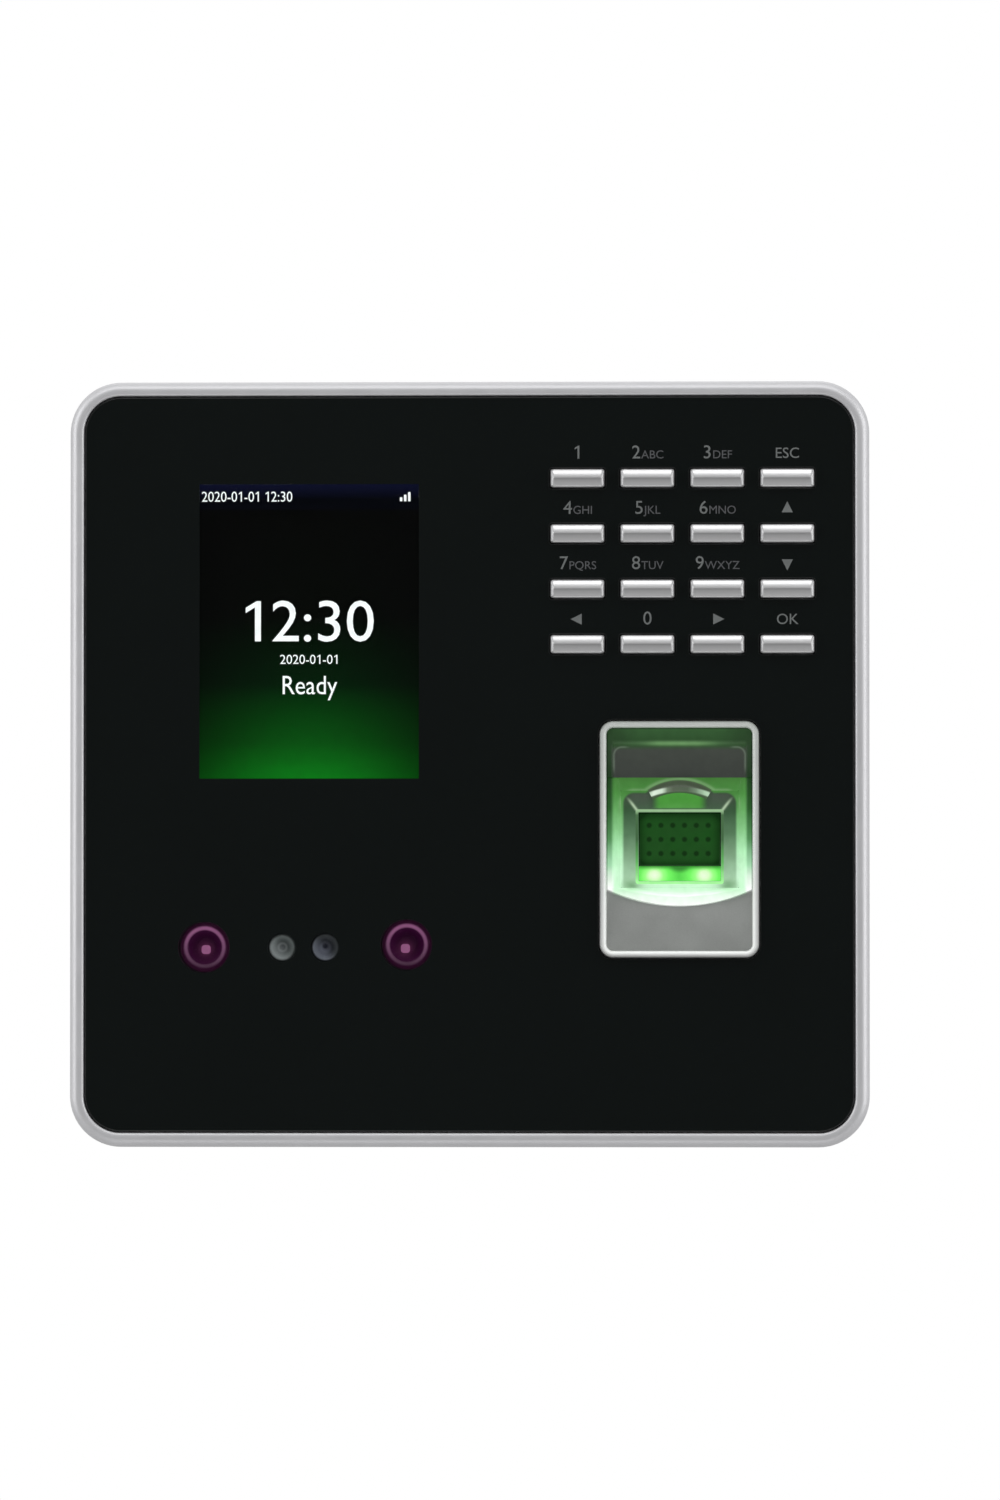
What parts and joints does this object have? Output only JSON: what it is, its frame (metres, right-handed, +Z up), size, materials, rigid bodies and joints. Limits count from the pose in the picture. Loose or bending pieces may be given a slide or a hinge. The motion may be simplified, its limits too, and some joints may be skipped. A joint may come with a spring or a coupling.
{
  "type": "fingerprint scanner terminal",
  "caption": "Wall-mounted access terminal: glossy black front with colour screen, bar-shaped keys, face cameras with infrared lamps and a lit optical fingerprint sensor, in a silver frame.",
  "frame": {"origin": "centre of the terminal's outline on the wall plate's back face, where it meets the wall", "axes": "+Z up, front faces -Y, +X to the right for someone facing the screen; the wall is the plane Y = 0"},
  "size_m": [0.156, 0.0318, 0.1492],
  "materials": {
    "silver_paint": "satin silver paint on moulded plastic",
    "panel_black": "high gloss black",
    "clear_window": "clear acrylic, polished",
    "key_silver": "satin chrome-look plastic",
    "silicone": "matt silicone rubber",
    "circuit_board": "solder-masked laminate",
    "steel": "bright sheet steel",
    "screen_glass": "polished, lit from behind",
    "amber_film": "amber flexible film",
    "camera_grey": "smooth",
    "lamp_magenta": "tinted clear resin",
    "hood_grey": "smooth dark grey",
    "light_guide_green": "translucent, lit from within",
    "block_grey": "smooth silver grey",
    "optical_glass": "polished, lit from below",
    "led_green": "lit resin",
    "black_plastic": "fine matt texture",
    "shell_grey": "fine matt texture",
    "chip_grey": "matt",
    "green_plastic": "matt",
    "white_plastic": "matt"
  },
  "bodies": {
    "terminal": {"front_housing": "silver_paint", "front_panel": "panel_black", "screen_window": "clear_window", "eye_window": "clear_window", "key_mat": "silicone", "key_board": "circuit_board", "lcd_frame": "steel", "lcd_panel": "screen_glass", "lcd_cable": "amber_film", "eye_board": "circuit_board", "camera_left": "camera_grey", "camera_right": "camera_grey", "ir_lamp_left": "lamp_magenta", "ir_lamp_right": "lamp_magenta", "sensor_bezel": "silver_paint", "sensor_hood": "hood_grey", "sensor_light_guide": "light_guide_green", "sensor_block": "block_grey", "sensor_prism": "optical_glass", "sensor_led_left": "led_green", "sensor_led_right": "led_green", "sensor_case": "black_plastic", "sensor_imager": "chip_grey", "sensor_board": "circuit_board", "main_board": "circuit_board", "rj45_jack": "steel", "dc_jack": "black_plastic", "terminal_block": "green_plastic", "usb_port": "steel", "processor_shield": "steel", "coin_cell_holder": "black_plastic", "coin_cell": "steel", "speaker": "chip_grey", "tamper_switch": "black_plastic", "reset_switch": "steel", "rear_shell": "shell_grey", "wall_plate": "steel", "lock_screw": "steel", "shell_screw_1": "steel", "shell_screw_2": "steel", "shell_screw_3": "steel", "shell_screw_4": "steel"},
    "key_1": {"key_1": "key_silver"},
    "key_2": {"key_2": "key_silver"},
    "key_3": {"key_3": "key_silver"},
    "key_esc": {"key_esc": "key_silver"},
    "key_4": {"key_4": "key_silver"},
    "key_5": {"key_5": "key_silver"},
    "key_6": {"key_6": "key_silver"},
    "key_up": {"key_up": "key_silver"},
    "key_7": {"key_7": "key_silver"},
    "key_8": {"key_8": "key_silver"},
    "key_9": {"key_9": "key_silver"},
    "key_down": {"key_down": "key_silver"},
    "key_left": {"key_left": "key_silver"},
    "key_0": {"key_0": "key_silver"},
    "key_right": {"key_right": "key_silver"},
    "key_ok": {"key_ok": "key_silver"},
    "tamper_plunger": {"tamper_plunger": "white_plastic"},
    "reset_plunger": {"reset_plunger": "white_plastic"}
  },
  "joints": [
    {"name": "key_1_press", "type": "slide", "parent": "terminal", "child": "key_1", "axis": [0, 1, 0], "range_m": [0, 0.0008], "stiffness_N_per_m": 800, "deforming": ["key_mat"]},
    {"name": "key_2_press", "type": "slide", "parent": "terminal", "child": "key_2", "axis": [0, 1, 0], "range_m": [0, 0.0008], "stiffness_N_per_m": 800, "deforming": ["key_mat"]},
    {"name": "key_3_press", "type": "slide", "parent": "terminal", "child": "key_3", "axis": [0, 1, 0], "range_m": [0, 0.0008], "stiffness_N_per_m": 800, "deforming": ["key_mat"]},
    {"name": "key_esc_press", "type": "slide", "parent": "terminal", "child": "key_esc", "axis": [0, 1, 0], "range_m": [0, 0.0008], "stiffness_N_per_m": 800, "deforming": ["key_mat"]},
    {"name": "key_4_press", "type": "slide", "parent": "terminal", "child": "key_4", "axis": [0, 1, 0], "range_m": [0, 0.0008], "stiffness_N_per_m": 800, "deforming": ["key_mat"]},
    {"name": "key_5_press", "type": "slide", "parent": "terminal", "child": "key_5", "axis": [0, 1, 0], "range_m": [0, 0.0008], "stiffness_N_per_m": 800, "deforming": ["key_mat"]},
    {"name": "key_6_press", "type": "slide", "parent": "terminal", "child": "key_6", "axis": [0, 1, 0], "range_m": [0, 0.0008], "stiffness_N_per_m": 800, "deforming": ["key_mat"]},
    {"name": "key_up_press", "type": "slide", "parent": "terminal", "child": "key_up", "axis": [0, 1, 0], "range_m": [0, 0.0008], "stiffness_N_per_m": 800, "deforming": ["key_mat"]},
    {"name": "key_7_press", "type": "slide", "parent": "terminal", "child": "key_7", "axis": [0, 1, 0], "range_m": [0, 0.0008], "stiffness_N_per_m": 800, "deforming": ["key_mat"]},
    {"name": "key_8_press", "type": "slide", "parent": "terminal", "child": "key_8", "axis": [0, 1, 0], "range_m": [0, 0.0008], "stiffness_N_per_m": 800, "deforming": ["key_mat"]},
    {"name": "key_9_press", "type": "slide", "parent": "terminal", "child": "key_9", "axis": [0, 1, 0], "range_m": [0, 0.0008], "stiffness_N_per_m": 800, "deforming": ["key_mat"]},
    {"name": "key_down_press", "type": "slide", "parent": "terminal", "child": "key_down", "axis": [0, 1, 0], "range_m": [0, 0.0008], "stiffness_N_per_m": 800, "deforming": ["key_mat"]},
    {"name": "key_left_press", "type": "slide", "parent": "terminal", "child": "key_left", "axis": [0, 1, 0], "range_m": [0, 0.0008], "stiffness_N_per_m": 800, "deforming": ["key_mat"]},
    {"name": "key_0_press", "type": "slide", "parent": "terminal", "child": "key_0", "axis": [0, 1, 0], "range_m": [0, 0.0008], "stiffness_N_per_m": 800, "deforming": ["key_mat"]},
    {"name": "key_right_press", "type": "slide", "parent": "terminal", "child": "key_right", "axis": [0, 1, 0], "range_m": [0, 0.0008], "stiffness_N_per_m": 800, "deforming": ["key_mat"]},
    {"name": "key_ok_press", "type": "slide", "parent": "terminal", "child": "key_ok", "axis": [0, 1, 0], "range_m": [0, 0.0008], "stiffness_N_per_m": 800, "deforming": ["key_mat"]},
    {"name": "tamper_plunger_slide", "type": "slide", "parent": "terminal", "child": "tamper_plunger", "axis": [0, 1, 0], "range_m": [0, 0.002], "stiffness_N_per_m": 200, "springref_m": 0.0025},
    {"name": "reset_plunger_press", "type": "slide", "parent": "terminal", "child": "reset_plunger", "axis": [0, 0, 1], "range_m": [0, 0.0003], "stiffness_N_per_m": 1500}
  ]
}
